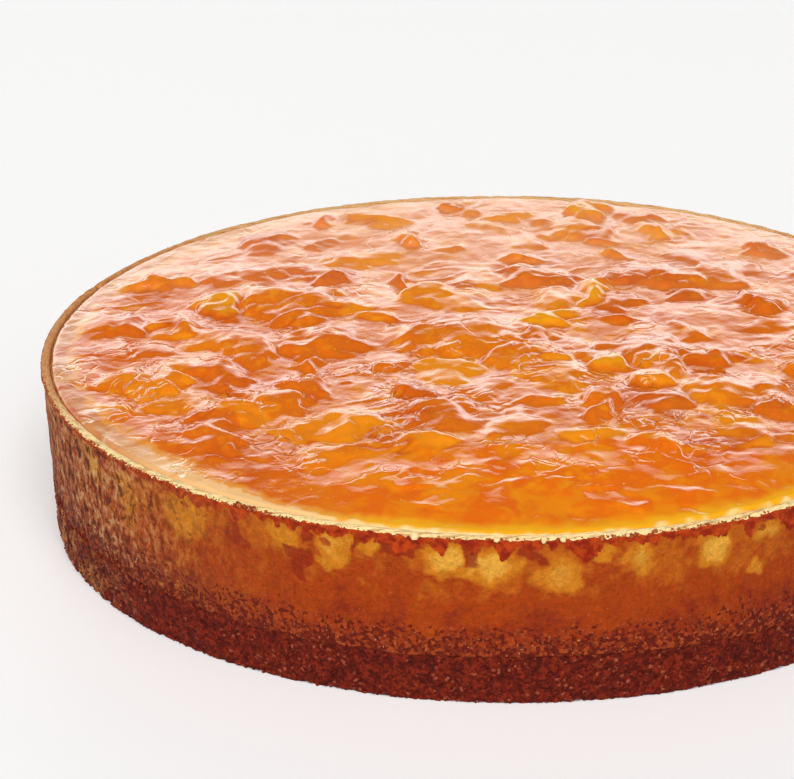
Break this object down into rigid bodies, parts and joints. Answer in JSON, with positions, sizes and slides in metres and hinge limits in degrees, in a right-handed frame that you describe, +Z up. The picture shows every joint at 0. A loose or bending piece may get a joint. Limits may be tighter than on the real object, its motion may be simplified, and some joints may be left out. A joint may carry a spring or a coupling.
{
  "type": "cheesecake",
  "caption": "Whole uncut baked cheesecake with a dark crumb base, a browned cheese filling and a chunky apricot jam topping.",
  "frame": {"origin": "middle of the flat underside of the crumb base", "axes": "+Z up through the middle of the cake, -Y towards the side that the picture was taken from"},
  "size_m": [0.24, 0.24, 0.0526],
  "materials": {
    "toasted_crumbs": "dark pressed biscuit crumbs, grainy and dull",
    "browned_filling": "baked cheese filling, golden to red-brown on its side and pale cream along its lip",
    "apricot_jam": "wet, glossy, half-clear orange jam with lumps of fruit"
  },
  "bodies": {
    "root": {"crumb_base": "toasted_crumbs", "cheese_filling": "browned_filling", "fruit_topping": "apricot_jam"}
  },
  "joints": []
}
